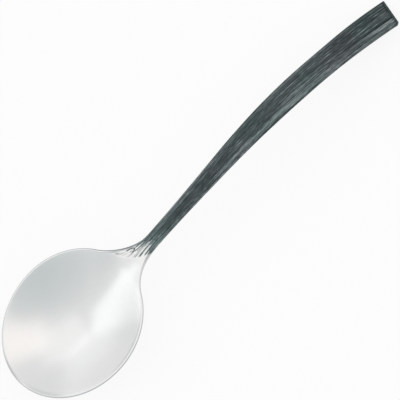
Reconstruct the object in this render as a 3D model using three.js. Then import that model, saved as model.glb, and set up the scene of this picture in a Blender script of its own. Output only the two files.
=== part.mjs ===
// A round soup spoon with a hollow handle. The pressed bowl, its neck and a tang are one piece of steel.
// Two handle halves close round the tang, a plate closes their far end, and cement holds the tang.
// Millimetres. x runs from the bowl to the handle's end, z is up, and the spoon lies on z = 0.

import * as THREE from 'three';

const { degToRad, lerp, smoothstep } = THREE.MathUtils;

// Bowl
const bowlWidth = 47;
const bowlFront = 27.2; // tip of the bowl to its widest place
const bowlBack = 25.6; // widest place to the back of the bowl's outline
const bowlDepth = 10.6; // deepest place of the hollow, below the rim
const bowlFloor = 1.6; // steel under the deepest place
const rimLand = 0.8; // flat top of the rim
const rimRise = degToRad(7); // the rim climbs towards the neck
const hollowFullness = 1.1; // 0.5 is an ellipsoid, 1 is a paraboloid
const outsideFullness = 0.9;
const hollowPast = 4.9; // how far past the bowl's outline the hollow runs out on the neck
const hollowRunOut = 1.2; // how gently the hollow rises to the neck

// Shoulder and neck
const shoulderRadius = 19; // fillet between the bowl's outline and the neck, seen from above
const heelBlend = 6; // how tightly the neck's underside turns into the bowl
const neckWidth = 4.95;
const neckCrown = 2; // top of the neck above its edges
const neckBelly = 2.5; // underside of the neck below its edges
const neckHeight = 13.05; // edges of the neck above the table
const neckRise = degToRad(8.3); // slope of the neck and of the straight part of the handle

// Handle
const archStart = 100.4; // tip of the bowl to where the straight handle starts to arch
const handleEnd = 174.8; // tip of the bowl to the middle of the handle's end
const midWidth = 9.07; // where the handle stops swelling
const swellShare = 0.67; // share of the handle's length over which it swells
const endWidth = 9.8;
const endCrown = 1.5;
const endBelly = 3.1;
const endSkew = degToRad(11.7); // the end is cut a little aslant, seen from above
const skewRun = 20; // length over which the handle's sections turn to the slant of its end
const handleRoundness = 2.4; // 2 is an ellipse, more is squarer
const shellWall = 0.6;
const endPlateThickness = 0.8;

// Tang and the cement round it
const tangShort = 2; // the tang stops this far before the handle starts to arch
const cementThickness = 0.3;
const cementPlug = 5; // cement past the tip of the tang

// Clearances
const jointGap = 0.12; // between the neck's step and the handle, and before the end plate
const seamGap = 0.1; // between the two handle halves
const bondGap = 0.1; // between the cement and the steel on both sides of it

// Facets
const bowlSteps = 14;
const shoulderSteps = 9;
const handleSteps = 18;
const cementSteps = 4;
const topFacets = 16;
const bellyFacets = 15; // odd, so that the spoon lies on a flat facet
const halfFacets = 11;
const tipHollowShare = 0.35; // width kept by the hollow's facets where the rim fills the tip

// Finds where a rising function passes zero.
function solve(rising, low, high) {
  for (let i = 0; i < 60; i++) {
    const middle = (low + high) / 2;
    if (rising(middle) < 0) low = middle;
    else high = middle;
  }
  return (low + high) / 2;
}

// Height of a rounded profile, 1 in the middle and 0 at t = -1 and t = 1.
function dome(t, power, fullness) {
  return Math.pow(Math.max(0, 1 - Math.pow(Math.abs(t), power)), fullness);
}

// The shoulder, seen from above, is an arc that touches the back of the bowl and the side of the neck.
const halfBowl = bowlWidth / 2;
const halfNeck = neckWidth / 2;

function shoulderCentre(angle) {
  const normal = new THREE.Vector2(Math.cos(angle) / bowlBack, Math.sin(angle) / halfBowl).normalize();
  const edge = new THREE.Vector2(bowlFront + bowlBack * Math.cos(angle), halfBowl * Math.sin(angle));
  return edge.addScaledVector(normal, shoulderRadius);
}

const shoulderAngle = solve((a) => shoulderCentre(a).y - halfNeck - shoulderRadius, 0, Math.PI / 2);
const shoulderStart = bowlFront + bowlBack * Math.cos(shoulderAngle);
const neckStart = shoulderCentre(shoulderAngle).x;

// Outline seen from above, from the bowl's tip to the narrowest place of the neck.
function halfWidth(x) {
  if (x > shoulderStart) {
    const beside = neckStart - x;
    return halfNeck + shoulderRadius - Math.sqrt(shoulderRadius ** 2 - beside ** 2);
  }
  const along = (x - bowlFront) / (x < bowlFront ? bowlFront : bowlBack);
  return halfBowl * Math.sqrt(Math.max(0, 1 - along * along));
}

// How much wider a strip of the outline is along y than square to its edge.
function edgeStretch(x) {
  const step = 1e-3;
  const slope = (halfWidth(x + step) - halfWidth(x - step)) / (2 * step);
  return Math.hypot(1, slope);
}

// Depth of the bowl's outside below the rim, on the middle line.
function bowlOutside(x) {
  const along = (x - bowlFront) / (x < bowlFront ? bowlFront : bowlBack);
  return (bowlDepth + bowlFloor) * dome(along, 2, outsideFullness);
}

// Stations lie closest together at the tip, where the outline turns fastest.
const stations = [];
for (let i = 1; i <= bowlSteps; i++) {
  stations.push(bowlFront * (1 - Math.cos((i / bowlSteps) * Math.PI / 2)));
}
for (let i = 1; i <= bowlSteps; i++) {
  stations.push(lerp(bowlFront, shoulderStart, Math.sin((i / bowlSteps) * Math.PI / 2)));
}
for (let i = 1; i <= shoulderSteps; i++) {
  stations.push(lerp(shoulderStart, neckStart, i / shoulderSteps));
}

// The rim is plane. It lies as high as the bowl's lowest facet needs to touch the table.
const lowestFacet = dome(Math.sin(Math.PI / 2 / bellyFacets), 2, outsideFullness);
const rimSlope = Math.tan(rimRise);
const climb = (x) => rimSlope * (x - bowlFront);
const bowlStations = stations.filter((x) => x < shoulderStart);
const rimHeight = Math.max(...bowlStations.map((x) => bowlOutside(x) * lowestFacet - climb(x)));
const rim = (x) => rimHeight + climb(x);

// The edges of the neck and handle rise in a straight line, then follow an arch down to the table.
const neckLine = (x) => neckHeight + Math.tan(neckRise) * (x - neckStart);

function archPoint(x, radius) {
  const angle = Math.asin(Math.sin(neckRise) - (x - archStart) / radius);
  return { z: neckLine(archStart) + radius * (Math.cos(angle) - Math.cos(neckRise)), angle };
}

// A frame holds a station's place on the edge line and its two directions across the spoon.
function frameAt(x, z, angle, skew) {
  const along = new THREE.Vector3(Math.cos(angle), 0, Math.sin(angle));
  const across = new THREE.Vector3(0, 1, 0).addScaledVector(along, Math.tan(skew));
  const up = new THREE.Vector3(-Math.sin(angle), 0, Math.cos(angle));
  return { origin: new THREE.Vector3(x, 0, z), along, across, up };
}

function moved(frame, distance) {
  return { ...frame, origin: frame.origin.clone().addScaledVector(frame.along, distance) };
}

// The arch is as round as the lowest corner of the handle's end needs to touch the table.
const endOutline = barOutline(endWidth / 2, endCrown, endBelly, halfFacets, halfFacets);

function endClearance(radius) {
  const arch = archPoint(handleEnd, radius);
  const { origin, across, up } = frameAt(handleEnd, arch.z, arch.angle, endSkew);
  return Math.min(...endOutline.map((p) => origin.z + p.x * across.z + p.y * up.z));
}

const tightestArch = (handleEnd - archStart) / (1 + Math.sin(neckRise));
const archRadius = solve(endClearance, tightestArch, tightestArch * 100);

function bowlFrame(x) {
  const turn = smoothstep(x, shoulderStart, neckStart);
  return frameAt(x, lerp(rim(x), neckLine(x), turn), neckRise * turn, 0);
}

function handleFrame(x) {
  const skew = endSkew * smoothstep(x, handleEnd - skewRun, handleEnd);
  if (x < archStart) return frameAt(x, neckLine(x), neckRise, skew);
  const arch = archPoint(x, archRadius);
  return frameAt(x, arch.z, arch.angle, skew);
}

// Half an outline of a bar, from its left edge over the top to its right edge.
function crownCurve(half, height, facets) {
  const points = [];
  for (let i = 0; i <= facets; i++) {
    const t = Math.cos((i / facets) * Math.PI);
    points.push(new THREE.Vector2(half * t, height * dome(t, handleRoundness, 1 / handleRoundness)));
  }
  return points;
}

// Whole outline of a bar: the crown, then the belly back to the left edge.
function barOutline(half, crown, belly, crownFacets, bellyFacetCount) {
  const under = crownCurve(half, belly, bellyFacetCount).map((p) => new THREE.Vector2(-p.x, -p.y));
  return [...crownCurve(half, crown, crownFacets), ...under.slice(1, -1)];
}

// Outline of the bowl and shoulder: flat rim, hollow or crown, flat rim, outside.
function bowlOutline(x) {
  const half = halfWidth(x);
  const turn = smoothstep(x, shoulderStart, neckStart);
  const power = lerp(2, handleRoundness, turn);
  const fullness = lerp(outsideFullness, 1 / handleRoundness, turn);
  const hollowReach = x < bowlFront ? bowlFront - rimLand : bowlBack + hollowPast;
  const hollowShare = (x - bowlFront) / hollowReach;
  const hollow = bowlDepth * dome(hollowShare, 2, x < bowlFront ? hollowFullness : hollowRunOut);
  const crown = neckCrown * smoothstep(x, bowlFront + bowlBack, neckStart);
  const heel = smoothstep(x, bowlFront, shoulderStart) * (bowlFrame(x).origin.z - neckLine(x) + neckBelly);
  const outside = x < bowlFront + bowlBack ? bowlOutside(x) : 0;
  const belly = Math.pow(outside ** heelBlend + heel ** heelBlend, 1 / heelBlend);
  const landHere = rimLand * edgeStretch(x) * (1 - turn);
  const hollowHalf = Math.max(half - landHere, half * tipHollowShare);
  const points = [new THREE.Vector2(half, 0)];
  for (let i = 1; i < topFacets; i++) {
    const t = Math.cos(((i - 1 + turn) / (topFacets - 2 + 2 * turn)) * Math.PI);
    const raised = crown * dome(t, handleRoundness, 1 / handleRoundness);
    points.push(new THREE.Vector2(hollowHalf * t, raised - hollow * dome(t, 2, hollowFullness)));
  }
  points.push(new THREE.Vector2(-half, 0));
  for (let i = 1; i < bellyFacets; i++) {
    const t = -Math.cos((i / bellyFacets) * Math.PI);
    points.push(new THREE.Vector2(half * t, -belly * dome(t, power, fullness)));
  }
  return points;
}

// One closed skin through a row of outlines, each set in its frame, with the first and last filled in.
// A row may start at a single tip point.
function loft(sections, tip) {
  const size = sections[0].outline.length;
  const points = [];
  for (const { frame, outline } of sections) {
    for (const p of outline) {
      const point = frame.origin.clone().addScaledVector(frame.across, p.x).addScaledVector(frame.up, p.y);
      points.push(point);
    }
  }
  const faces = [];
  for (let s = 0; s < sections.length - 1; s++) {
    for (let i = 0; i < size; i++) {
      const a = s * size + i;
      const b = s * size + ((i + 1) % size);
      faces.push([a, b, b + size], [a, b + size, a + size]);
    }
  }
  const last = (sections.length - 1) * size;
  for (const [a, b, c] of THREE.ShapeUtils.triangulateShape(sections.at(-1).outline, [])) {
    faces.push([last + a, last + b, last + c]);
  }
  if (tip) {
    points.push(tip);
    for (let i = 0; i < size; i++) faces.push([points.length - 1, (i + 1) % size, i]);
  } else {
    for (const [a, b, c] of THREE.ShapeUtils.triangulateShape(sections[0].outline, [])) faces.push([c, b, a]);
  }
  const volume = faces.reduce((sum, [a, b, c]) => {
    return sum + points[a].dot(new THREE.Vector3().crossVectors(points[b], points[c]));
  }, 0);
  const outward = volume > 0 ? faces : faces.map(([a, b, c]) => [a, c, b]);
  const geometry = new THREE.BufferGeometry().setFromPoints(points);
  geometry.setIndex(outward.flat());
  geometry.computeVertexNormals();
  return geometry;
}

// Sizes of the handle's outside at a station, and of what lies a given depth inside it.
function handleSizes(x, depth) {
  const share = (x - neckStart) / (handleEnd - neckStart);
  const swollen = lerp(neckWidth, midWidth, smoothstep(share, 0, swellShare));
  const half = lerp(swollen, endWidth, smoothstep(share, swellShare, 1)) / 2;
  const crown = lerp(neckCrown, endCrown, share);
  const belly = lerp(neckBelly, endBelly, share);
  return { half: half - depth, crown: crown - depth, belly: belly - depth };
}

// Bowl, neck and tang, one piece of steel. The neck steps down to the tang, which is straight.
const cementDepth = shellWall + bondGap;
const tangDepth = cementDepth + cementThickness + bondGap;
const neckFrame = handleFrame(neckStart);
const tangLength = (archStart - neckStart) / Math.cos(neckRise) - tangShort;

function tangOutline(clearance) {
  const { half, crown, belly } = handleSizes(neckStart, tangDepth - clearance);
  return barOutline(half, crown, belly, topFacets, bellyFacets);
}

function bowlAndTang() {
  const sections = stations.map((x) => ({ frame: bowlFrame(x), outline: bowlOutline(x) }));
  sections.push({ frame: neckFrame, outline: tangOutline(0) });
  sections.push({ frame: moved(neckFrame, tangLength), outline: tangOutline(0) });
  return loft(sections, new THREE.Vector3(0, 0, rim(0)));
}

// Stations of the handle, from the step of the neck to the end plate.
const endFrame = handleFrame(handleEnd);
const handleStations = [];
for (let i = 0; i < handleSteps; i++) {
  const x = lerp(neckStart, handleEnd, i / handleSteps);
  const frame = i === 0 ? moved(neckFrame, jointGap) : handleFrame(x);
  handleStations.push({ x, frame });
}
handleStations.push({ x: handleEnd, frame: moved(endFrame, -endPlateThickness - jointGap) });

// Half of the handle: a thin channel, pressed from sheet, that meets the other half along its edges.
function handleHalf(side) {
  const sections = handleStations.map(({ x, frame }) => {
    const outside = handleSizes(x, 0);
    const inside = handleSizes(x, shellWall);
    const height = side > 0 ? 'crown' : 'belly';
    const outer = crownCurve(outside.half, outside[height] - seamGap / 2, halfFacets);
    const inner = crownCurve(inside.half, inside[height] - seamGap / 2, halfFacets);
    const outline = [...outer, ...inner.reverse()];
    return { frame, outline: outline.map((p) => new THREE.Vector2(side * p.x, side * (p.y + seamGap / 2))) };
  });
  return loft(sections);
}

// Flat plate over the open end of the handle halves, cut to the same slant.
function handleEndPlate() {
  return loft([
    { frame: moved(endFrame, -endPlateThickness), outline: endOutline },
    { frame: endFrame, outline: endOutline },
  ]);
}

// Cement between the tang and the handle halves, with a blind pocket where the tang sits.
function tangCement() {
  const mouth = moved(neckFrame, jointGap);
  const sections = [
    { frame: moved(neckFrame, tangLength + bondGap), outline: tangOutline(bondGap) },
    { frame: mouth, outline: tangOutline(bondGap) },
  ];
  const reach = (tangLength + cementPlug) * Math.cos(neckRise);
  for (let i = 0; i <= cementSteps; i++) {
    const x = neckStart + reach * (i / cementSteps);
    const { half, crown, belly } = handleSizes(x, cementDepth);
    const outline = barOutline(half, crown, belly, topFacets, bellyFacets);
    sections.push({ frame: i === 0 ? mouth : handleFrame(x), outline });
  }
  return loft(sections);
}

const polishedSteel = { color: '#d6d9dc', roughness: 0.22, metalness: 1 };
const blackenedSteel = { color: '#474d4d', roughness: 0.45, metalness: 1 };
const setCement = { color: '#a79f90', roughness: 0.9, metalness: 0 };

const spoon = new THREE.Group();

function addPiece(name, geometry, finish) {
  const mesh = new THREE.Mesh(geometry, new THREE.MeshStandardMaterial(finish));
  mesh.name = name;
  spoon.add(mesh);
}

addPiece('bowl_and_tang', bowlAndTang(), polishedSteel);
addPiece('handle_top_half', handleHalf(1), blackenedSteel);
addPiece('handle_bottom_half', handleHalf(-1), blackenedSteel);
addPiece('handle_end_plate', handleEndPlate(), blackenedSteel);
addPiece('tang_cement', tangCement(), setCement);

// The origin lies on the table, under the middle of the spoon.
const extent = new THREE.Box3().setFromObject(spoon);
spoon.position.x = -(extent.min.x + extent.max.x) / 2;

export default spoon;
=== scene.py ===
from math import asin, atan2, cos, exp, hypot, pi, radians, sin, sqrt, tan

import bmesh
import bpy
from mathutils import Matrix, Vector, noise


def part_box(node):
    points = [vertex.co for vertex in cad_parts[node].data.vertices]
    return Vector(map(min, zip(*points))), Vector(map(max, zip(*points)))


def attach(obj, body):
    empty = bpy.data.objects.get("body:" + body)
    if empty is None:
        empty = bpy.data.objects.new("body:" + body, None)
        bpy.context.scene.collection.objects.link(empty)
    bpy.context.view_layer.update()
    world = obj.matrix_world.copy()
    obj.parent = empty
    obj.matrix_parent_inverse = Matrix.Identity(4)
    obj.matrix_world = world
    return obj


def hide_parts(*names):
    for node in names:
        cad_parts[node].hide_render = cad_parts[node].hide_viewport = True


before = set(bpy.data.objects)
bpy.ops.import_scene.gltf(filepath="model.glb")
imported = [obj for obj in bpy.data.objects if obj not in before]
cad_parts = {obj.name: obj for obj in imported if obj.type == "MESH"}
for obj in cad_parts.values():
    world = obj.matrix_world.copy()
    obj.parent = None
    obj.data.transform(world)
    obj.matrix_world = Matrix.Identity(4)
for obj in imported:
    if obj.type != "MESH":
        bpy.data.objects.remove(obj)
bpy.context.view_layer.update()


# Bowl, shoulder, neck and tang: one blank of stainless steel, pressed to a hollow, ground on its outside
# and rim, and given a soft polish. The wood grain of the handle is struck into the neck and runs out on the
# shoulder, and the black finish thins out along its lines. The tang sits in cement inside the handle.

# Lengths are in millimetres. x runs along the spoon from the bowl's tip, and y across it to the far side.
# t is y as a share of the half width, from -1 at the near edge to 1 at the far edge.
bowl_front = 27.2
bowl_back = 25.6
half_bowl = 23.5
bowl_depth = 10.6
bowl_wall = 1.44
rim_land = 0.8
rim_drop = 0.35
rim_height = 12.3175
rim_slope = tan(radians(7))
hollow_dip = 0.12  # the hollow begins this far under the rim
hollow_fullness = 1.1
outside_fullness = 0.9
hollow_reach = 30.5  # from the bowl's middle to where the hollow runs out on the neck
hollow_run_out = 1.2  # fullness of the hollow along the middle line
hollow_spread = radians(15.5)  # how far to both sides of that line the reach fans out
shoulder_radius = 19.0
heel_blend = 6
half_neck = 2.475
neck_crown = 2.0
neck_belly = 2.5
neck_height = 13.05
neck_rise = radians(8.3)
bar_roundness = 2.4
tang_inset = 1.1
tang_length = 33.05


def smoothstep(value, low, high):
    share = min(1.0, max(0.0, (value - low) / (high - low)))
    return share * share * (3 - 2 * share)


def lerp(a, b, share):
    return a + (b - a) * share


def dome(t, power, fullness):
    return max(0.0, 1 - abs(t) ** power) ** fullness


def bump(value, middle, reach):
    """1 at the middle, falling to 0 at the reach on both sides."""
    return dome(min(1, abs(value - middle) / reach), 2, 1)


def shoulder_centre(angle):
    normal = Vector((cos(angle) / bowl_back, sin(angle) / half_bowl)).normalized()
    edge = Vector((bowl_front + bowl_back * cos(angle), half_bowl * sin(angle)))
    return edge + shoulder_radius * normal


# The shoulder's arc touches the bowl's oval and the neck's side; halving finds where it leaves the oval.
low, high = 0.0, pi / 2
for _ in range(60):
    shoulder_angle = (low + high) / 2
    if shoulder_centre(shoulder_angle).y < half_neck + shoulder_radius:
        low = shoulder_angle
    else:
        high = shoulder_angle
shoulder_start = bowl_front + bowl_back * cos(shoulder_angle)
neck_start = shoulder_centre(shoulder_angle).x


def half_width(x):
    """Half the spoon's width, seen from above, from the tip to the neck."""
    if x > shoulder_start:
        return half_neck + shoulder_radius - sqrt(shoulder_radius**2 - (neck_start - x) ** 2)
    along = (x - bowl_front) / (bowl_front if x < bowl_front else bowl_back)
    return half_bowl * sqrt(max(0.0, 1 - along * along))


def neck_turn(x):
    """0 on the bowl, 1 on the neck."""
    return smoothstep(x, shoulder_start, neck_start)


def land_width(x):
    """Width of the rim's land, measured straight across the spoon."""
    slope = (half_width(x + 1e-3) - half_width(x - 1e-3)) / 2e-3
    return rim_land * hypot(1, slope) * (1 - neck_turn(x))


def neck_line(x):
    return neck_height + tan(neck_rise) * (x - neck_start)


def edge_line(x):
    """Height of the rim, or of the neck's widest line."""
    return lerp(rim_height + rim_slope * (x - bowl_front), neck_line(x), neck_turn(x))


def on_bowl(x, y, rise):
    """Point at a station, beside the middle line and above the edge line."""
    lean = neck_rise * neck_turn(x)
    return Vector((x - sin(lean) * rise, y, edge_line(x) + cos(lean) * rise))


def hollow_edge_share(x, y):
    """How far out in the hollow a point lies: 0 in the middle, 1 where the rim's land begins."""
    if x < bowl_front:
        return hypot((x - bowl_front) / (bowl_front - rim_land), y / (half_bowl - rim_land))
    return abs(y) / (half_width(x) - land_width(x))


def hollow_share(x, y):
    """Depth of the hollow behind its middle: 1 in the middle, 0 where it runs out at rim and neck."""
    far, angle = hypot(x - bowl_front, y), atan2(abs(y), x - bowl_front)
    oval = 1 / hypot(cos(angle) / (bowl_back - rim_land), sin(angle) / (half_bowl - rim_land))
    stretch = (hollow_reach / (bowl_back - rim_land) - 1) * exp(-((angle / hollow_spread) ** 2))
    reach = oval * (1 + stretch * min(1, far / (oval * (1 + stretch))) ** 2)
    return dome(min(1, far / reach), 2, lerp(hollow_fullness, hollow_run_out, cos(angle) ** 2))


def top_rise(x, y):
    """Hollow of the bowl, running out to the crown of the neck."""
    dip = hollow_dip * (1 - neck_turn(x))
    if x < bowl_front:
        return -dip - (bowl_depth - dip) * dome(hollow_edge_share(x, y), 2, hollow_fullness)
    hollow = (bowl_depth - dip) * hollow_share(x, y)
    crown = neck_crown * smoothstep(x, bowl_front + bowl_back, neck_start)
    t = y / (half_width(x) - land_width(x))
    return -dip + crown * dome(t, bar_roundness, 1 / bar_roundness) - hollow


def under_rise(x, y):
    """Outside of the bowl, running out to the belly of the neck."""
    turn = neck_turn(x)
    drop = rim_drop * (1 - turn)
    if x < bowl_front:
        out = ((x - bowl_front) / bowl_front) ** 2 + (y / half_bowl) ** 2
        return -drop - (bowl_depth + bowl_wall - drop) * max(0.0, 1 - out) ** outside_fullness
    outside = (bowl_depth + bowl_wall) * dome((x - bowl_front) / bowl_back, 2, outside_fullness)
    heel = smoothstep(x, bowl_front, shoulder_start) * (edge_line(x) - neck_line(x) + neck_belly)
    belly = (outside**heel_blend + heel**heel_blend) ** (1 / heel_blend)
    power, fullness = lerp(2, bar_roundness, turn), lerp(outside_fullness, 1 / bar_roundness, turn)
    return -drop - (belly - drop) * dome(y / half_width(x), power, fullness)


def smooth_noise(along, across, layer):
    """Noise between about -1 and 1; every layer is another pattern."""
    return noise.noise(Vector((along, across, layer)))


# Wood grain: ridges that run along the spoon, from noise with cells 33 to 63 mm long and 0.4 to 0.7 mm
# wide, with rough lines of 5 mm and pores of 2 mm between them. 'across' is measured as on the neck.
def grain(along, across):
    """Depth of the grain below the skin, from 0 on a ridge to about 0.2."""
    drift = across + 0.35 * smooth_noise(along * 0.03, across * 0.2, 4.2)
    ridge = 1 - 7 * abs(smooth_noise(along * 0.016, drift * 1.5, 0.4))
    thread = 1 - 7 * abs(smooth_noise(along * 0.03, drift * 2.6, 9.4))
    rough = smooth_noise(along * 0.2, drift * 4.2, 3.3)
    pores = smooth_noise(along * 0.55, drift * 3.4, 23.1)
    broad = smooth_noise(along * 0.03, drift * 0.6, 17.3)
    raised = max(0.0, ridge, 0.8 * thread)
    return max(0.0, 0.125 - 0.08 * raised + 0.035 * rough + 0.045 * pores + 0.025 * broad)


def grain_spread(half):
    """Half width of the grain's pattern: its lines spread as the bar widens, but less than the bar does."""
    return lerp(half, 4.0, 0.6)


grain_width = grain_spread(half_neck)
under_grain = 40.0  # the underside has its grain from another part of the pattern
grained_from = 47.0
knot_tip = Vector((58.9, 2.25))
knot_reach = 0.32
knot_depth = 0.16


def neck_knot(x, t):
    """A bent groove, like the edge of a knot in wood, where the grain begins."""
    y = t * half_width(x) - knot_tip.y
    bend = 1.8 if y > 0 else 2.6
    off = abs(x - knot_tip.x + bend * y * y) / hypot(1, 2 * bend * y)
    return max(0.0, 1 - off / knot_reach) * smoothstep(x, 55.9, 56.6) * smoothstep(y, -0.95, -0.75)


def grain_begun(x, t):
    """0 on the bowl and 1 on the neck, with the change along a slanting line across the shoulder."""
    return smoothstep(x, 55.9 - 4.8 * t, 56.9 - 4.8 * t)


def neck_grain(x, t, side):
    """Depth of the grain on the neck; side 1 is the upper side, -1 the underside."""
    if side < 0:
        return grain(x, under_grain - t * grain_width) * smoothstep(x, 61, 65)
    return grain(x, t * grain_width) * grain_begun(x, t) + knot_depth * neck_knot(x, t)


def neck_bright(t):
    """The brightest streak of bare steel on the neck."""
    return bump(t, -0.5, 0.17)


def neck_black(x, t, depth, side):
    """How much of the black finish covers the neck: thin lines that widen until they meet at the handle."""
    if side < 0:
        return smoothstep(x + 12 * depth + 1.5 * smooth_noise(x * 0.1, t * 5, 2), 61, 65)
    begin = 55.2 + 2.9 * smoothstep(t, 0.2, 0.5) + 1.6 * smoothstep(-t, 0.5, 0.75)
    begin += 2.5 * smooth_noise(x * 0.05, t * 4, 7.5)
    reach = max(0.0, (x - begin) / (neck_start - begin))
    bright = neck_bright(t) * (1 - smoothstep(x, 62.5, neck_start))
    near_edge = smoothstep(-t, 0.7, 0.85) * smoothstep(x, 60, 64)
    wide = 0.03 + 0.58 * reach - 0.4 * bright + 0.06 * near_edge
    off = abs(smooth_noise(x * 0.08, t * 8.5, 30.4))
    cover = (1 - smoothstep(off, wide - 0.035, wide + 0.035)) * grain_begun(x, t) if wide > 0 else 0.0
    knot = smoothstep(neck_knot(x, t), 0.15, 0.6)
    return max(cover, knot, smoothstep(x, neck_start - 1.6, neck_start - 0.2))


def neck_wear(x, t):
    """How far the black is worn off on both sides of the joint of the neck and the handle."""
    far = smoothstep(t, 0.3, 0.6)
    streak = 0.35 + 1.1 * smooth_noise(x * 0.08, t * 8.5, 12.4) + 0.5 * neck_bright(t)
    streak += 0.3 * smoothstep(-t, 0.7, 0.9) + 0.35 * far - 0.25 * bump(t, 0.15, 0.3)
    return 0.58 * streak * smoothstep(x, 56, 59) * (1 - smoothstep(x, 65 + 6 * far, 74 + 14 * far))


def painted_tip_shade(x, y):
    """Painted shade: a grey lip at the near side of the tip, on the rim and just inside it, in place of a
    darker reflection.
    """
    return 0.2 * bump(y, -10, 9) * (1 - smoothstep(x, 5, 10))


def painted_rim_shade(x, y, share, rise):
    """How much grey shade is painted on the rim's outer edge, in place of a darker reflection: widest at
    the tip, darkest along the far side.
    """
    tip_widening = bump(y, 5, 7) * (1 - smoothstep(x, 2, 5))
    far_side = smoothstep(y, 5, 15) * smoothstep(x, 22, 34)
    inner = lerp(0.12, 0.5, max(smoothstep(x, 20, 34), smoothstep(-y, -3, 6)))
    outer = smoothstep(share + 0.35 * tip_widening, inner, 0.88)
    grey = max(outer * lerp(0.42, 0.7, max(0.4 * tip_widening, far_side)), painted_tip_shade(x, y))
    return grey * (1 - smoothstep(-rise, rim_drop + 0.1, rim_drop + 0.5))


def painted_lip_shade(x, y):
    """How much grey shade is painted in the hollow just inside the rim: at the near side of the tip and
    along the near side.
    """
    along = smoothstep(x, 20, 30) * (1 - smoothstep(x, 43, shoulder_start))
    side_lip = 0.26 * smoothstep(-y, 8, 14) * along
    return max(painted_tip_shade(x, y), side_lip) * smoothstep(hollow_edge_share(x, y), 0.94, 1)


def press_in(vert, depth, t):
    """Presses the grain into the skin, but not at its two edges."""
    vert.co -= vert.normal * depth * (1 - abs(t) ** 12)


front_rows, back_rows, neck_rows, columns = 28, 26, 84, 112
bowl_rows = front_rows + back_rows + neck_rows

# The rim's section from the hollow to the outside: share of the land's width, and rise.
rim_profile = [
    (0.06, -0.04),
    (0.16, 0),
    (0.45, 0.015),
    (0.72, 0),
    (0.88, -0.06),
    (0.97, -0.18),
    (1, -rim_drop),
]


def bowl_crossing(row, column, share):
    """Place in plan where a row and a column cross; share 0 ends at the hollow, 1 at the outline."""
    land = rim_land * (1 - share)
    if row <= front_rows:
        sweep = (row / front_rows) ** 1.3
        side, ahead = radians(45 * (1 + sweep)), (1 - sweep) ** 1.5
        arc = radians(45 * column)
        x = bowl_front - (bowl_front - land) * (cos(side) + ahead * (cos(arc) - cos(radians(45))))
        y = (half_bowl - land) * sin(side) * lerp(column, sin(arc) / sin(radians(45)), ahead)
        return x, y
    if row <= front_rows + back_rows:
        x = lerp(bowl_front, grained_from, (row - front_rows) / back_rows)
    else:
        x = lerp(grained_from, neck_start, (row - front_rows - back_rows) / neck_rows)
    return x, column * (half_width(x) - land_width(x) * (1 - share))


def spread(g):
    """Sets the columns closer together towards the rim."""
    return g * (1.3 - 0.3 * g * g)


def new_verts(made):
    return [g for g in made["geom"] if isinstance(g, bmesh.types.BMVert)]


def new_edges(made):
    """Edges of an extrusion that lie wholly in its new part."""
    verts = set(new_verts(made))
    return [g for g in made["geom"] if isinstance(g, bmesh.types.BMEdge) and verts.issuperset(g.verts)]


# A flat sheet for the hollow, level 0, with the rim's section raised round it, levels 1 and up, and one for
# the outside, level -1, are bent to the bowl and then merged.
bowl_mesh = bmesh.new()
grain_lines = bowl_mesh.verts.layers.float_vector.new("grain_lines")
black_cover = bowl_mesh.verts.layers.float.new("black_cover")
# Grey painted shade on the rim's edges and along the neck's edges, in place of darker reflections.
painted_edge_shade = bowl_mesh.verts.layers.float.new("painted_edge_shade")
wear_and_painted_highlight = bowl_mesh.verts.layers.float.new("wear_and_painted_highlight")
bmesh.ops.create_grid(bowl_mesh, x_segments=bowl_rows, y_segments=columns, size=1)
rim_edges = [e for e in bowl_mesh.edges if e.is_boundary and min(v.co.x for v in e.verts) < 0.9999]
for _ in rim_profile:
    raised = bmesh.ops.extrude_edge_only(bowl_mesh, edges=rim_edges)
    bmesh.ops.translate(bowl_mesh, verts=new_verts(raised), vec=(0, 0, 1))
    rim_edges = new_edges(raised)
outside_sheet = bmesh.ops.create_grid(bowl_mesh, x_segments=bowl_rows, y_segments=columns, size=1)["verts"]
bmesh.ops.translate(bowl_mesh, verts=outside_sheet, vec=(0, 0, -1))

bowl_skin = []
for vert in bowl_mesh.verts:
    row = round((vert.co.x + 1) / 2 * bowl_rows)
    column, level = spread(vert.co.y), round(vert.co.z)
    share = 1 if level < 0 else 0 if level == 0 else rim_profile[level - 1][0]
    x, y = bowl_crossing(row, column, share)
    if level > 0:
        rise = rim_profile[level - 1][1] * (1 - neck_turn(x))
    else:
        rise = under_rise(x, y) if level else top_rise(x, y)
    vert.co = on_bowl(x, y, rise)
    # Painted shade: grey on the rim's outer edge and just inside the rim.
    if level:
        vert[painted_edge_shade] = painted_rim_shade(x, y, share, rise)
    elif x < shoulder_start:
        vert[painted_edge_shade] = painted_lip_shade(x, y)
    if x > grained_from:
        bowl_skin.append((vert, x, y / half_width(x), -1 if level < 0 else 1))
bmesh.ops.remove_doubles(bowl_mesh, verts=bowl_mesh.verts, dist=0.002)

bmesh.ops.recalc_face_normals(bowl_mesh, faces=bowl_mesh.faces)
bowl_mesh.normal_update()
for vert, x, t, side in bowl_skin:
    if vert.is_valid:
        depth = neck_grain(x, t, side)
        vert[grain_lines] = Vector((x, t * grain_width * side, depth))
        vert[black_cover] = neck_black(x, t, depth, side)
        vert[wear_and_painted_highlight] = max(0.0, neck_wear(x, t))
        # Painted shade: a grey band along the neck's edges, darker on the far side.
        if side > 0:
            inset = (1 - abs(t)) * half_width(x)
            band = (1 - smoothstep(inset, 0.4, 0.8)) * smoothstep(x, 45, 50)
            vert[painted_edge_shade] = max(vert[painted_edge_shade], (0.9 if t > 0 else 0.3) * band)
        press_in(vert, depth, t)

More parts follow.
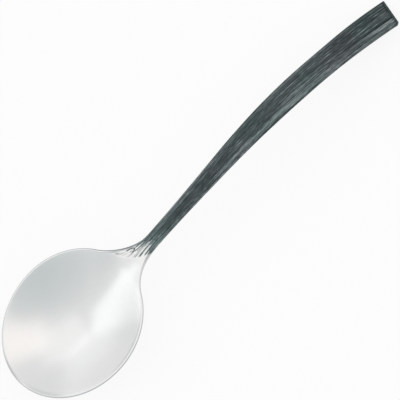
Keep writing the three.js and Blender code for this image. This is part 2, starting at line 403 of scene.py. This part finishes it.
step = bmesh.ops.extrude_edge_only(bowl_mesh, edges=[e for e in bowl_mesh.edges if e.is_boundary])
neck_along = Vector((cos(neck_rise), 0, sin(neck_rise)))
neck_up = Vector((-sin(neck_rise), 0, cos(neck_rise)))
neck_middle = Vector((neck_start, 0, neck_height))
for vert in new_verts(step):
    rise = (vert.co - neck_middle).dot(neck_up)
    height = neck_crown if rise > 0 else neck_belly
    beside = vert.co.y * (1 - tang_inset / half_neck)
    vert.co = neck_middle + Vector((0, beside, 0)) + neck_up * rise * (1 - tang_inset / height)
tang = bmesh.ops.extrude_edge_only(bowl_mesh, edges=new_edges(step))
bmesh.ops.translate(bowl_mesh, verts=new_verts(tang), vec=neck_along * tang_length)
bmesh.ops.contextual_create(bowl_mesh, geom=new_edges(tang))


def linear(code):
    """Linear colour of an sRGB hex value."""
    parts = [int(code[i : i + 2], 16) / 255 for i in (1, 3, 5)]
    return [*(p / 12.92 if p <= 0.04045 else ((p + 0.055) / 1.055) ** 2.4 for p in parts), 1]


def add(tree, kind, inputs, **settings):
    """Adds a node with its settings; an input takes a value or a link."""
    made = tree.nodes.new(kind)
    for name, value in settings.items():
        setattr(made, name, value)
    for name, value in inputs.items():
        if isinstance(value, bpy.types.NodeSocket):
            tree.links.new(value, made.inputs[name])
        else:
            made.inputs[name].default_value = value
    return made


def new_material(name):
    material = bpy.data.materials.new(name)
    material.use_nodes = True
    material.node_tree.nodes.clear()
    return material


def as_object(name, mesh, material):
    """Makes an object of a mesh as it stands."""
    data = bpy.data.meshes.new(name)
    mesh.to_mesh(data)
    mesh.free()
    data.materials.append(material)
    made = bpy.data.objects.new(name, data)
    bpy.context.scene.collection.objects.link(made)
    return made


def finished(name, mesh, material):
    """Brings a mesh from millimetres behind the bowl's tip to its place in the frame, as an object."""
    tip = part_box("bowl_and_tang")[0].x
    millimetre, sharp_angle = 0.001, radians(40)
    to_frame = Matrix.Translation((tip, 0, 0)) @ Matrix.Scale(millimetre, 4)
    bmesh.ops.transform(mesh, matrix=to_frame, verts=mesh.verts)
    bmesh.ops.recalc_face_normals(mesh, faces=mesh.faces)
    for face in mesh.faces:
        face.smooth = True
    for edge in mesh.edges:
        edge.smooth = not (edge.is_manifold and edge.calc_face_angle() > sharp_angle)
    return as_object(name, mesh, material)


# Blackened steel: a thin dark oxide with a soft gloss, darkest in the grain's lines and worn lighter on its
# ridges, with a faint play of green and violet in clouds of 20 mm. The shader's own lines are 0.4 mm apart
# and
# 8 mm long, on top of the struck grain. Bare steel's colour is mixed in where the black is worn off at the
# neck, and painted in as a highlight on the handle's rounds and at its end.
def black_finish(tree):
    """Inputs for the shader of the blackened, grained steel."""
    lines = add(tree, "ShaderNodeAttribute", {}, attribute_name="grain_lines").outputs["Vector"]
    depth = add(tree, "ShaderNodeSeparateXYZ", {"Vector": lines}).outputs["Z"]
    drawn = add(tree, "ShaderNodeVectorMath", {0: lines, 1: (1 / 8, 1 / 0.4, 0)}, operation="MULTIPLY")
    streak_inputs = {"Vector": drawn.outputs[0], "Scale": 1, "Detail": 3, "Roughness": 0.6}
    streaks = add(tree, "ShaderNodeTexNoise", streak_inputs).outputs["Fac"]
    cut = add(tree, "ShaderNodeMath", {0: depth, 1: 3.5}, operation="MULTIPLY").outputs[0]
    tone = add(tree, "ShaderNodeMath", {0: streaks, 1: 0.6, 2: cut}, operation="MULTIPLY_ADD").outputs[0]
    shade = add(tree, "ShaderNodeValToRGB", {"Fac": tone})
    stops = shade.color_ramp.elements
    stops[0].position, stops[0].color = 0.3, linear("#a4b0b0")
    stops[1].position, stops[1].color = 0.95, linear("#2e3435")
    stops.new(0.48).color = linear("#727d7e")
    stops.new(0.65).color = linear("#4e5758")
    # Bare steel's colour: real wear at the neck, and a painted highlight on the handle's rounds and end.
    bare_or_highlight = add(tree, "ShaderNodeAttribute", {}, attribute_name="wear_and_painted_highlight").outputs["Fac"]
    black_or_bare_or_highlight = {0: bare_or_highlight, 6: shade.outputs[0], 7: linear("#abb8b7")}
    bared_or_highlighted = add(tree, "ShaderNodeMix", black_or_bare_or_highlight, data_type="RGBA").outputs[2]
    place = add(tree, "ShaderNodeTexCoord", {}).outputs["Object"]
    cloud = add(tree, "ShaderNodeTexNoise", {"Vector": place, "Scale": 1 / 0.02, "Detail": 2})
    tint = add(tree, "ShaderNodeValToRGB", {"Fac": cloud.outputs["Fac"]})
    green, violet = tint.color_ramp.elements
    green.position, green.color = 0.38, linear("#f5fcfb")
    violet.position, violet.color = 0.62, linear("#fff9fe")
    tint_inputs = {0: 1, 6: bared_or_highlighted, 7: tint.outputs[0]}
    colour = add(tree, "ShaderNodeMix", tint_inputs, data_type="RGBA", blend_type="MULTIPLY").outputs[2]
    gloss = add(tree, "ShaderNodeMapRange", {0: tone, 1: 0.2, 2: 1, 3: 0.36, 4: 0.55}).outputs[0]
    relief = add(tree, "ShaderNodeBump", {"Height": streaks, "Strength": 0.3, "Distance": 0.00005})
    return {"Base Color": colour, "Metallic": 1, "Roughness": gloss, "Normal": relief.outputs[0]}


# Stainless steel with a soft polish: it mirrors the studio, blurred. The polishing wheel left faint strokes
# along the spoon, drawn 0.5 mm apart and 9 mm long so that they show, which vary the shine a little. Grey
# is
# painted on the rim's outer edge, on a thin lip inside parts of it and in a band along the neck's edges:
# painted shade, in place of darker reflections. On the neck the black finish covers the steel.
steel = new_material("satin_stainless_steel")
tree = steel.node_tree
place = add(tree, "ShaderNodeTexCoord", {}).outputs["Object"]
stroke_scale = (1 / 0.009, 1 / 0.0005, 1 / 0.0005)
drawn = add(tree, "ShaderNodeMapping", {"Vector": place, "Scale": stroke_scale}).outputs[0]
strokes = add(tree, "ShaderNodeTexNoise", {"Vector": drawn, "Scale": 1, "Detail": 2}).outputs["Fac"]
satin = add(tree, "ShaderNodeMapRange", {0: strokes, 1: 0.3, 2: 0.7, 3: 0.285, 4: 0.325}).outputs[0]
polish_tones = {0: strokes, 6: linear("#eceded"), 7: linear("#e8e9e9")}
shine = add(tree, "ShaderNodeMix", polish_tones, data_type="RGBA").outputs[2]
# Painted shade: the grey mixed in along the rim and the neck's edges.
edge_shade_mask = add(tree, "ShaderNodeAttribute", {}, attribute_name="painted_edge_shade").outputs["Fac"]
polished_or_painted_shade = {0: edge_shade_mask, 6: shine, 7: linear("#7b8185")}
colour = add(tree, "ShaderNodeMix", polished_or_painted_shade, data_type="RGBA").outputs[2]
bright = add(tree, "ShaderNodeBsdfPrincipled", {"Base Color": colour, "Metallic": 1, "Roughness": satin})
dark = add(tree, "ShaderNodeBsdfPrincipled", black_finish(tree))
cover = add(tree, "ShaderNodeAttribute", {}, attribute_name="black_cover").outputs["Fac"]
both = add(tree, "ShaderNodeMixShader", {0: cover, 1: bright.outputs[0], 2: dark.outputs[0]})
add(tree, "ShaderNodeOutputMaterial", {"Surface": both.outputs[0]})

bowl = finished("bowl", bowl_mesh, steel)
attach(bowl, "root")
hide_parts("bowl_and_tang")


# Upper half of the hollow handle: steel sheet pressed to a low arch, with the wood grain struck into it,
# and blackened. It is joined to the lower half along its edges and cemented round the tang.
arch_start = 100.4
arch_radius = 111.131
handle_end = 174.8
half_middle = 4.535
half_end = 4.85
swell_share = 0.67
end_crown = 1.5
end_flat = 0.4
flat_from = 135
end_roundness = 12
square_from = 148
end_belly = 3.08
end_skew = radians(11.7)
skew_run = 20.0
sheet_wall = 0.55
plate_thickness = 0.8
seam_gap = 0.08
butt_gap = 0.03


def handle_frame(x):
    """Middle of the handle's edge line at a station, and its directions along, across and up."""
    angle, z = neck_rise, neck_line(x)
    if x > arch_start:
        angle = asin(sin(neck_rise) - (x - arch_start) / arch_radius)
        z = neck_line(arch_start) + arch_radius * (cos(angle) - cos(neck_rise))
    along = Vector((cos(angle), 0, sin(angle)))
    skew = end_skew * smoothstep(x, handle_end - skew_run, handle_end)
    across = Vector((0, 1, 0)) + along * tan(skew)
    return Vector((x, 0, z)), along, across, Vector((-sin(angle), 0, cos(angle)))


def handle_sizes(x):
    """Half width, crown and belly of the handle."""
    share = (x - neck_start) / (handle_end - neck_start)
    half = lerp(half_neck, half_middle, smoothstep(share, 0, swell_share))
    half = lerp(half, half_end, smoothstep(share, swell_share, 1))
    crown = lerp(neck_crown, end_crown, share) - end_flat * smoothstep(x, flat_from, handle_end)
    return half, crown, lerp(neck_belly, end_belly, share)


def handle_roundness(x, side):
    """The section's upper side grows squarer towards the end."""
    if side < 0:
        return bar_roundness
    return lerp(bar_roundness, end_roundness, smoothstep(x, square_from, handle_end))


def painted_handle_highlight(x, t, across):
    """How much bare-steel colour is painted on the black as a highlight: most on the near side's round and
    at the end, in broken streaks.
    """
    near_round = smoothstep(-t, 0.42, 0.62) * (1 - smoothstep(-t, 0.84, 0.97))
    rounds = near_round + 0.3 * smoothstep(t, 0.5, 0.75)
    along = smoothstep(x, 90, 112) * (1 - 0.4 * smoothstep(x, 142, 156))
    wide = 0.09 * smoothstep(x, 158, 172)
    patch = smoothstep(x, 159, 169) * (1 - smoothstep(abs(t + 0.61), wide, wide + 0.06))
    streak = 0.72 + 0.55 * smooth_noise(x * 0.08, across * 1.9, 51.3)
    return 0.3 * rounds * along * streak + 0.72 * patch


def grained_half(side):
    """Half of the handle as a thin pressed channel; side 1 is the upper half, -1 the lower."""
    rows, outer, inner = 300, 110, 24
    around = outer + inner + 2
    mesh = bmesh.new()
    bmesh.ops.create_grid(mesh, x_segments=rows, y_segments=around, size=1)
    lines = mesh.verts.layers.float_vector.new("grain_lines")
    wear_and_painted_highlight = mesh.verts.layers.float.new("wear_and_painted_highlight")
    skin = []
    end_middle, end_along, *_ = handle_frame(handle_end)
    last = (end_middle - end_along * (plate_thickness + butt_gap)).x
    for vert in mesh.verts:
        row, turn = round((vert.co.x + 1) / 2 * rows), round((vert.co.y + 1) / 2 * around) % around
        x = lerp(neck_start + butt_gap, last, row / rows)
        middle, along, across, up = handle_frame(x)
        half, crown, belly = handle_sizes(x)
        height = crown if side > 0 else belly
        if turn <= outer:
            t = sin((turn / outer - 0.5) * pi)
            wall = 0
            skin.append((vert, x, t, half))
        else:
            t = sin((0.5 - (turn - outer - 1) / inner) * pi)
            wall = sheet_wall
        power = handle_roundness(x, side)
        rise = seam_gap / 2 + (height - wall - seam_gap / 2) * dome(t, power, 1 / power)
        vert.co = middle + across * (half - wall) * t + up * side * rise
    bmesh.ops.remove_doubles(mesh, verts=mesh.verts, dist=1e-4)
    bmesh.ops.recalc_face_normals(mesh, faces=mesh.faces)
    mesh.normal_update()
    for vert, x, t, half in skin:
        if vert.is_valid:
            across = t * grain_spread(half)
            groove = smoothstep(x, 157, 166) * (1 - smoothstep(abs(t + 0.4), 0.02, 0.07))
            depth = grain(x, across if side > 0 else under_grain - across) + 0.07 * groove
            depth += 0.03 * smoothstep(x, last - 0.7, last - 0.2) + 0.012 * smoothstep(x, 148, 160)
            depth += 0.018 * smoothstep(-t, 0.74, 0.84) * smoothstep(x, 154, 164)
            vert[lines] = Vector((x, across * side, depth))
            # Bare steel at the neck's joint, and a painted highlight on the handle's rounds and end.
            bare_or_highlight = max(neck_wear(x, t), painted_handle_highlight(x, t, across))
            vert[wear_and_painted_highlight] = max(0.0, min(1.0, bare_or_highlight)) * (1 - smoothstep(depth, 0.09, 0.17))
            press_in(vert, depth, t)
    for at_neck in (True, False):
        ring = [e for e in mesh.edges if e.is_boundary and (e.verts[0].co.x < arch_start) == at_neck]
        bmesh.ops.contextual_create(mesh, geom=ring)
    return mesh


blackened = new_material("blackened_steel")
tree = blackened.node_tree
surface = add(tree, "ShaderNodeBsdfPrincipled", black_finish(tree))
add(tree, "ShaderNodeOutputMaterial", {"Surface": surface.outputs[0]})

upper = finished("handle_upper_half", grained_half(1), blackened)
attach(upper, "root")
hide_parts("handle_top_half")


# Lower half of the hollow handle: the same sheet, pressed deeper and rounder, with the same grain and black
# finish. It is joined to the upper half along its edges and cemented round the tang.
lower = finished("handle_lower_half", grained_half(-1), blackened)
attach(lower, "root")
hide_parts("handle_bottom_half")


# End plate: a flat plate of the same blackened steel, brazed over the open end of the two halves and ground
# flush with them, with its edges broken.
edge_break = 0.12
plate_grain = 0.11  # depth of grain that gives the plain plate the handle's middle tone
plate_mesh = bmesh.new()
lines = plate_mesh.verts.layers.float_vector.new("grain_lines")
plate_ring = bmesh.ops.create_circle(plate_mesh, segments=96, radius=1, cap_ends=True)["verts"]
middle, along, across, up = handle_frame(handle_end)
for vert in plate_ring:
    t, side = vert.co.x, 1 if vert.co.y > 0 else -1
    power = handle_roundness(handle_end, side)
    rise = dome(t, power, 1 / power) * (end_crown - end_flat if side > 0 else -end_belly)
    vert[lines] = Vector((rise, t * half_end, plate_grain))
    vert.co = middle + across * half_end * t + up * rise
bulk = bmesh.ops.extrude_face_region(plate_mesh, geom=plate_mesh.faces[:])
bmesh.ops.translate(plate_mesh, verts=new_verts(bulk), vec=-along * plate_thickness)
bmesh.ops.recalc_face_normals(plate_mesh, faces=plate_mesh.faces)
corners = [e for e in plate_mesh.edges if e.calc_face_angle() > radians(50)]
bmesh.ops.bevel(
    plate_mesh, geom=corners, offset=edge_break, segments=3, profile=0.5, affect="EDGES", material=-1
)
plate = finished("handle_end_plate_dressed", plate_mesh, blackened)
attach(plate, "root")
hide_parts("handle_end_plate")


# Cement between the tang and the handle halves: a dull, gritty mineral paste, poured in and set. Its grains
# are about 0.4 mm. Nothing of it shows from outside.
cement = new_material("set_handle_cement")
tree = cement.node_tree
place = add(tree, "ShaderNodeTexCoord", {}).outputs["Object"]
grit = add(tree, "ShaderNodeTexNoise", {"Vector": place, "Scale": 1 / 0.0004, "Detail": 3}).outputs["Fac"]
paste_tones = {0: grit, 6: linear("#978f80"), 7: linear("#b7afa0")}
paste = add(tree, "ShaderNodeMix", paste_tones, data_type="RGBA").outputs[2]
pores = add(tree, "ShaderNodeBump", {"Height": grit, "Strength": 0.4, "Distance": 0.0001}).outputs[0]
surface = add(tree, "ShaderNodeBsdfPrincipled", {"Base Color": paste, "Roughness": 0.9, "Normal": pores})
add(tree, "ShaderNodeOutputMaterial", {"Surface": surface.outputs["BSDF"]})
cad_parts["tang_cement"].data.materials.clear()
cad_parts["tang_cement"].data.materials.append(cement)


# Studio: a white floor and a white surround, under four soft boxes. The camera sees them as white, and the
# steel mirrors them about a sixth dimmer, so that the boxes stand out in it. A part of the floor's light is
# its own paint's, which shows the spoon's shadow. Lengths are in metres here.
floor_half = 3
floor_white = 0.86  # share of the backdrop's white in the floor
floor_mirrored = 0.83
surround_mirrored = 0.85


def white_backdrop(tree, mirrored):
    """Which rays see the white backdrop, and its strength: 1 for the camera and less in a mirror."""
    rays = add(tree, "ShaderNodeLightPath", {}).outputs
    glossy, through = rays["Is Glossy Ray"], rays["Is Transmission Ray"]
    first = add(tree, "ShaderNodeMath", {0: rays["Is Camera Ray"], 1: glossy}, operation="ADD").outputs[0]
    seen = add(tree, "ShaderNodeMath", {0: first, 1: through}, operation="ADD", use_clamp=True)
    level = add(tree, "ShaderNodeMath", {0: glossy, 1: mirrored - 1, 2: 1}, operation="MULTIPLY_ADD")
    return seen.outputs[0], level.outputs[0]


floor_paint = new_material("white_floor")
tree = floor_paint.node_tree
seen, level = white_backdrop(tree, floor_mirrored)
matt = add(tree, "ShaderNodeBsdfDiffuse", {"Color": linear("#f6f6f6")}).outputs[0]
white = add(tree, "ShaderNodeEmission", {"Color": (1, 1, 1, 1), "Strength": level}).outputs[0]
share = add(tree, "ShaderNodeMath", {0: seen, 1: floor_white}, operation="MULTIPLY").outputs[0]
both = add(tree, "ShaderNodeMixShader", {0: share, 1: matt, 2: white})
add(tree, "ShaderNodeOutputMaterial", {"Surface": both.outputs[0]})
floor_mesh = bmesh.new()
bmesh.ops.create_grid(floor_mesh, x_segments=4, y_segments=4, size=floor_half)
floor = as_object("floor", floor_mesh, floor_paint)

world = bpy.data.worlds.new("white_surround")
bpy.context.scene.world = world
world.use_nodes = True
tree = world.node_tree
tree.nodes.clear()
seen, level = white_backdrop(tree, surround_mirrored)
fill = add(tree, "ShaderNodeBackground", {"Color": (1, 1, 1, 1), "Strength": 0.8}).outputs[0]
shown = add(tree, "ShaderNodeBackground", {"Color": (1, 1, 1, 1), "Strength": level}).outputs[0]
both = add(tree, "ShaderNodeMixShader", {0: seen, 1: fill, 2: shown})
add(tree, "ShaderNodeOutputWorld", {"Surface": both.outputs[0]})


def soft_box(name, azimuth, zenith, size, brightness, tint="#ffffff"):
    """A rectangular lamp a metre away, facing the spoon; azimuth and zenith are in degrees.

    In the steel its brightness adds to the surround's.
    """
    turned, lowered = radians(azimuth), radians(zenith)
    place = Vector((sin(lowered) * cos(turned), sin(lowered) * sin(turned), cos(lowered)))
    lamp = bpy.data.lights.new(name, "AREA")
    lamp.shape = "RECTANGLE"
    lamp.size, lamp.size_y = size
    lamp.color = linear(tint)[:3]
    lamp.energy = brightness * pi * size[0] * size[1]
    holder = bpy.data.objects.new(name, lamp)
    holder.location = place
    holder.rotation_euler = (-place).to_track_quat("-Z", "Y").to_euler()
    bpy.context.scene.collection.objects.link(holder)


soft_box("overhead_box", 72, 15, (1.1, 1.06), 0.2, "#fff9f3")
soft_box("left_box", 141.5, 72, (0.63, 1.05), 0.385)
soft_box("right_box", 325, 49, (0.95, 1.0), 0.3, "#ffece1")
soft_box("far_box", 94, 60, (0.92, 0.97), 0.18)

# A pale grey card stands round the near side, out of the camera's sight, and gives the hollow its darker
# wall. It fades to white towards its top and its two ends.
card_away = 0.7
card_middle = 243  # degrees, as its half turn
card_half_turn = 55
card_foot, card_top = -0.01, 1.2
card_mesh = bmesh.new()
fading = card_mesh.verts.layers.float.new("fading")
bmesh.ops.create_grid(card_mesh, x_segments=24, y_segments=8, size=1)
for vert in card_mesh.verts:
    turned = radians(card_middle + card_half_turn * vert.co.x)
    height = lerp(card_foot, card_top, (vert.co.y + 1) / 2)
    vert[fading] = 0.35 + 0.65 * (height - 0.6) + (0.5 if vert.co.x < 0 else 0.3) * abs(vert.co.x)
    vert.co = Vector((card_away * cos(turned), card_away * sin(turned), height))
card_paint = new_material("grey_card")
tree = card_paint.node_tree
paler = add(tree, "ShaderNodeAttribute", {}, attribute_name="fading").outputs["Fac"]
card_tones = {0: paler, 6: linear("#d4dfde"), 7: linear("#fcfcfc")}
grey = add(tree, "ShaderNodeMix", card_tones, data_type="RGBA").outputs[2]
glow = add(tree, "ShaderNodeEmission", {"Color": grey, "Strength": 0.85})
add(tree, "ShaderNodeOutputMaterial", {"Surface": glow.outputs[0]})
card = as_object("grey_card", card_mesh, card_paint)
card.visible_camera = False
card.visible_diffuse = False
card.visible_shadow = False

bpy.context.scene.view_settings.view_transform = "Standard"

# Camera: looks down at 70 degrees from the spoon's near side, from far away, and is turned so that the
# handle points up to the right.
off_vertical = radians(20)
tilt = radians(45.46)
shown_width = 0.1334
picture_right, picture_up, picture_raised = -0.00235, 0.00258, 0.010  # middle of the picture
optics = bpy.data.cameras.new("camera")
optics.lens = 1200
optics.sensor_width = 36
optics.clip_end = 20
camera = bpy.data.objects.new("camera", optics)
bpy.context.scene.collection.objects.link(camera)
bpy.context.scene.camera = camera
back = Vector((0, -sin(off_vertical), cos(off_vertical)))
upward = Vector((0, cos(off_vertical), sin(off_vertical)))
right = Vector((cos(tilt), 0, 0)) - upward * sin(tilt)
top = Vector((sin(tilt), 0, 0)) + upward * cos(tilt)
aim = Vector((picture_right, 0, 0)) + upward * picture_up + back * picture_raised
place = aim + back * (shown_width * optics.lens / optics.sensor_width)
turned = Matrix((right, top, back)).transposed().to_4x4()
camera.matrix_world = Matrix.Translation(place) @ turned
